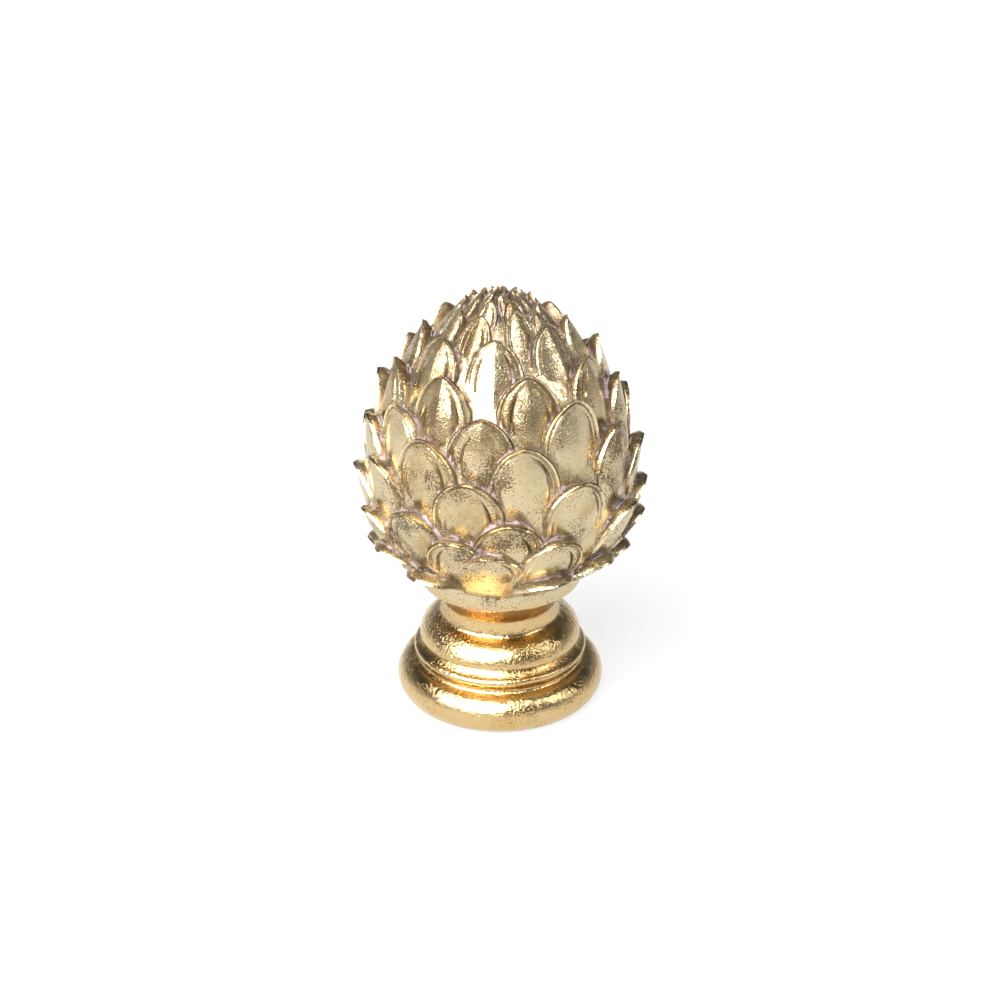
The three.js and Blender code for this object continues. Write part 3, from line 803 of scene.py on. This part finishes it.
class FINIAL_OT_studio(bpy.types.Operator):
    """Makes the floor, the soft lights and the camera"""

    bl_idname = "finial.studio"
    bl_label = "Studio"

    def execute(self, context):
        # Grey paper with a glow of its own looks white, and throws little light up at the gold
        reach = 6.0
        corners = [(-reach, -reach, 0), (reach, -reach, 0), (reach, reach, 0), (-reach, reach, 0)]
        mesh = bpy.data.meshes.new("floor")
        mesh.from_pydata(corners, [], [(0, 1, 2, 3)])
        floor = bpy.data.objects.new("studio_floor", mesh)
        context.collection.objects.link(floor)
        material = bpy.data.materials.new("matt white paper")
        material.use_nodes = True
        shader = material.node_tree.nodes["Principled BSDF"]
        shader.inputs["Base Color"].default_value = linear("#6A6968")
        shader.inputs["Roughness"].default_value = 0.9
        shader.inputs["Emission Color"].default_value = linear("#FFFFFF")
        shader.inputs["Emission Strength"].default_value = 0.8
        mesh.materials.append(material)

        # Soft light from all round, dimmer overhead
        low, high = 0.46, 0.07
        world = bpy.data.worlds.new("studio")
        world.use_nodes = True
        sky = world.node_tree
        way = add(sky, "ShaderNodeSeparateXYZ", add(sky, "ShaderNodeTexCoord").outputs["Generated"])
        dims = add(sky, "ShaderNodeMapRange", way.outputs["Z"], 0.0, 0.6, low, high,
                   interpolation_type="SMOOTHSTEP")
        sky.links.new(dims.outputs[0], sky.nodes["Background"].inputs["Strength"])
        sky.nodes["Background"].inputs["Color"].default_value = linear("#FFFFFF")
        context.scene.world = world

        # Softboxes: place, what each is turned towards, width, depth, watts and spread. The
        # one behind the finial faces straight down, so that it lights the floor alone.
        middle = (0.0, 0.0, 0.12)
        for name, place, faced, width, depth, watts, spread in (
            ("left softbox", (-0.42, -0.6, 0.9), middle, 1.25, 1.4, 60.0, 180),
            ("right softbox", (0.95, -0.3, 0.85), middle, 0.22, 0.8, 4.5, 180),
            ("floor softbox", (0.0, 1.75, 1.3), None, 3.4, 1.6, 50.0, 70),
        ):
            light = bpy.data.lights.new(name, "AREA")
            light.shape = "RECTANGLE"
            light.size = width
            light.size_y = depth
            light.energy = watts
            light.spread = math.radians(spread)
            lamp = bpy.data.objects.new(name, light)
            lamp.location = place
            if faced:
                lamp.rotation_euler = (Vector(faced) - Vector(place)).to_track_quat("-Z", "Y").to_euler()
            context.collection.objects.link(lamp)

        elevation = math.radians(27.3)
        distance = 1.385
        aim = Vector((0, 0, 0.1144))
        camera = bpy.data.objects.new("camera", bpy.data.cameras.new("camera"))
        camera.data.lens = 93.6
        camera.data.sensor_width = 36.0
        camera.location = aim + distance * Vector((0, -math.cos(elevation), math.sin(elevation)))
        camera.rotation_euler = (aim - camera.location).to_track_quat("-Z", "Y").to_euler()
        context.collection.objects.link(camera)
        context.scene.camera = camera
        context.scene.view_settings.view_transform = "Standard"
        return {"FINISHED"}


class FINIAL_PT_panel(bpy.types.Panel):
    bl_label = "Pinecone finial"
    bl_idname = "FINIAL_PT_panel"
    bl_space_type = "VIEW_3D"
    bl_region_type = "UI"
    bl_category = "Finial"

    def draw(self, context):
        layout = self.layout
        for group in (context.scene.finial_casting, context.scene.finial_gilding):
            for name in group.bl_rna.properties.keys():
                if name not in ("rna_type", "name"):
                    layout.prop(group, name)
        layout.operator(FINIAL_OT_casting.bl_idname)
        layout.operator(FINIAL_OT_studio.bl_idname)


CLASSES = (FINIAL_PG_casting, FINIAL_PG_gilding, FINIAL_OT_casting, FINIAL_OT_studio, FINIAL_PT_panel)


def register():
    for cls in CLASSES:
        bpy.utils.register_class(cls)
    bpy.types.Scene.finial_casting = PointerProperty(type=FINIAL_PG_casting)
    bpy.types.Scene.finial_gilding = PointerProperty(type=FINIAL_PG_gilding)


def unregister():
    del bpy.types.Scene.finial_gilding
    del bpy.types.Scene.finial_casting
    for cls in reversed(CLASSES):
        bpy.utils.unregister_class(cls)


def main():
    register()
    bpy.ops.finial.casting()
    bpy.ops.finial.studio()


if __name__ == "__main__":
    main()
